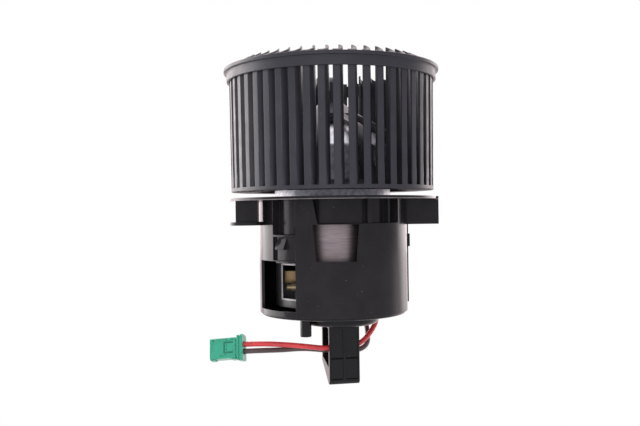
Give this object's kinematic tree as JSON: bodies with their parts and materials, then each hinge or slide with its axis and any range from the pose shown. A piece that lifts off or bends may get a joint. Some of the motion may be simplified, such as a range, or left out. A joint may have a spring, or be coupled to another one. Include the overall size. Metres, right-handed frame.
{
  "type": "car cabin blower motor",
  "caption": "Car cabin blower: squirrel-cage fan wheel on a motor in a flanged black housing, with a bottom cover, a cable foot and short leads to a green connector",
  "frame": {"origin": "on the motor's axis, in the plane of the flange's underside, at the centre of the flange's ring of screw holes", "axes": "+Z along the motor's axis towards the fan wheel, -Y the front with the window in the shell, +X to the right"},
  "size_m": [0.1628, 0.15, 0.224],
  "materials": {
    "wheel_plastic": "matt dark grey moulded plastic, slightly satin on the band",
    "housing_plastic": "glossy black moulded plastic",
    "cover_plastic": "black moulded plastic, glossy boss and satin foot",
    "end_plastic": "dark grey moulded plastic",
    "can_steel": "zinc-plated drawn steel with fine turning lines",
    "shaft_steel": "ground steel",
    "core_steel": "stacked steel laminations, varnished",
    "spring_steel": "blue-grey spring steel",
    "magnet_ferrite": "ground dark ferrite",
    "copper": "enamelled copper",
    "brass": "stamped brass",
    "bronze": "oil-filled sintered bronze",
    "carbon": "dark carbon and copper brush",
    "insulator": "natural insulating board",
    "ceramic": "ochre dipped ceramic disc",
    "cutout_case": "dark moulded case",
    "black_rubber": "matt black rubber",
    "red_sheath": "red insulation, smooth satin",
    "dark_sheath": "dark grey insulation, smooth satin",
    "connector_green": "green moulded plastic, satin",
    "lock_green": "darker green moulded plastic",
    "terminal_tin": "tinned contact metal"
  },
  "bodies": {
    "root": {"upper_bearing": "bronze", "lower_bearing": "bronze", "upper_bearing_retainer": "spring_steel", "lower_bearing_retainer": "spring_steel", "motor_can": "can_steel", "magnet_left": "magnet_ferrite", "magnet_right": "magnet_ferrite", "magnet_springs": "spring_steel", "end_cover": "end_plastic", "brush_holder_left": "brass", "brush_holder_right": "brass", "brush_spring_left": "spring_steel", "brush_spring_right": "spring_steel", "choke_left": "copper", "choke_right": "copper", "suppression_capacitor": "ceramic", "thermal_cutout": "cutout_case", "end_cover_screws": "shaft_steel", "blower_housing": "housing_plastic", "isolator_upper": "black_rubber", "isolator_lower": "black_rubber", "bottom_cover": "cover_plastic", "lead_grommet": "black_rubber", "red_lead": "red_sheath", "dark_lead": "dark_sheath", "connector_housing": "connector_green", "connector_lock": "lock_green", "connector_terminals": "terminal_tin"},
    "rotor": {"fan_wheel": "wheel_plastic", "wheel_clip": "spring_steel", "motor_shaft": "shaft_steel", "armature_core": "core_steel", "slot_insulators": "insulator", "armature_windings": "copper", "commutator": "copper", "upper_thrust_washer": "spring_steel", "lower_thrust_washer": "spring_steel"},
    "left_brush": {"brush_left": "carbon"},
    "right_brush": {"brush_right": "carbon"}
  },
  "joints": [
    {"name": "rotor_spin", "type": "hinge", "parent": "root", "child": "rotor", "pos_m": [0, 0, 0], "axis": [0, 0, 1], "continuous": true},
    {"name": "left_brush_slide", "type": "slide", "parent": "root", "child": "left_brush", "axis": [-1, 0, 0], "range_m": [0, 0.003], "stiffness_N_per_m": 150, "springref_m": -0.012, "deforming": ["brush_spring_left"]},
    {"name": "right_brush_slide", "type": "slide", "parent": "root", "child": "right_brush", "axis": [1, 0, 0], "range_m": [0, 0.003], "stiffness_N_per_m": 150, "springref_m": -0.012, "deforming": ["brush_spring_right"]}
  ]
}
